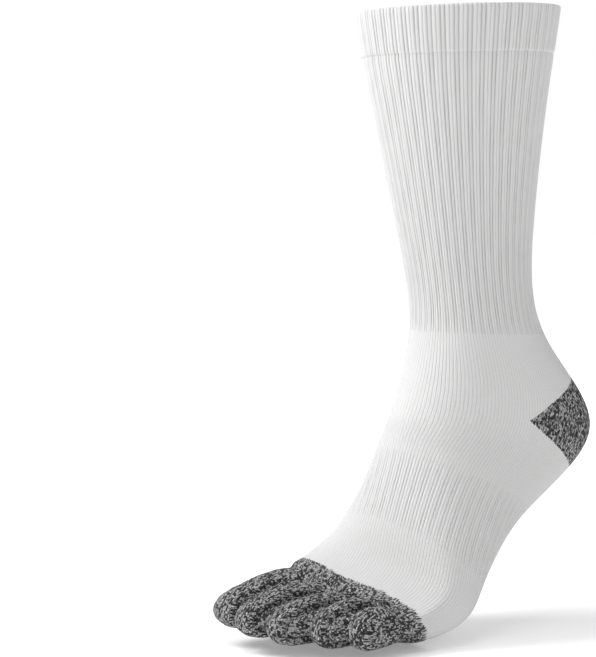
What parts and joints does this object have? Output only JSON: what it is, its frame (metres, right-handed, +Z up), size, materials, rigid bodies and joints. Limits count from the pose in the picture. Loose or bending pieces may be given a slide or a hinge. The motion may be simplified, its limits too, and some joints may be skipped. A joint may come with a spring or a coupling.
{
  "type": "toe sock",
  "caption": "Ribbed crew sock for the left foot with a separate pocket for each toe, marled heel and toe end and a ribbed arch band, in its worn form.",
  "frame": {"origin": "middle of the cuff's mouth, where the leg goes in", "axes": "+Z up out of the mouth, toes towards -Y, little toe's side towards +X"},
  "size_m": [0.1064, 0.2251, 0.3274],
  "materials": {
    "white_knit": "matte knitted cotton",
    "marl_knit": "matte knitted marl of black and pale grey yarn"
  },
  "bodies": {
    "root": {"cuff": "white_knit", "leg": "white_knit", "ankle": "white_knit", "heel": "marl_knit", "arch_band": "white_knit", "forefoot": "white_knit", "toe_base": "marl_knit", "big_toe": "marl_knit", "second_toe": "marl_knit", "third_toe": "marl_knit", "fourth_toe": "marl_knit", "little_toe": "marl_knit"}
  },
  "joints": []
}
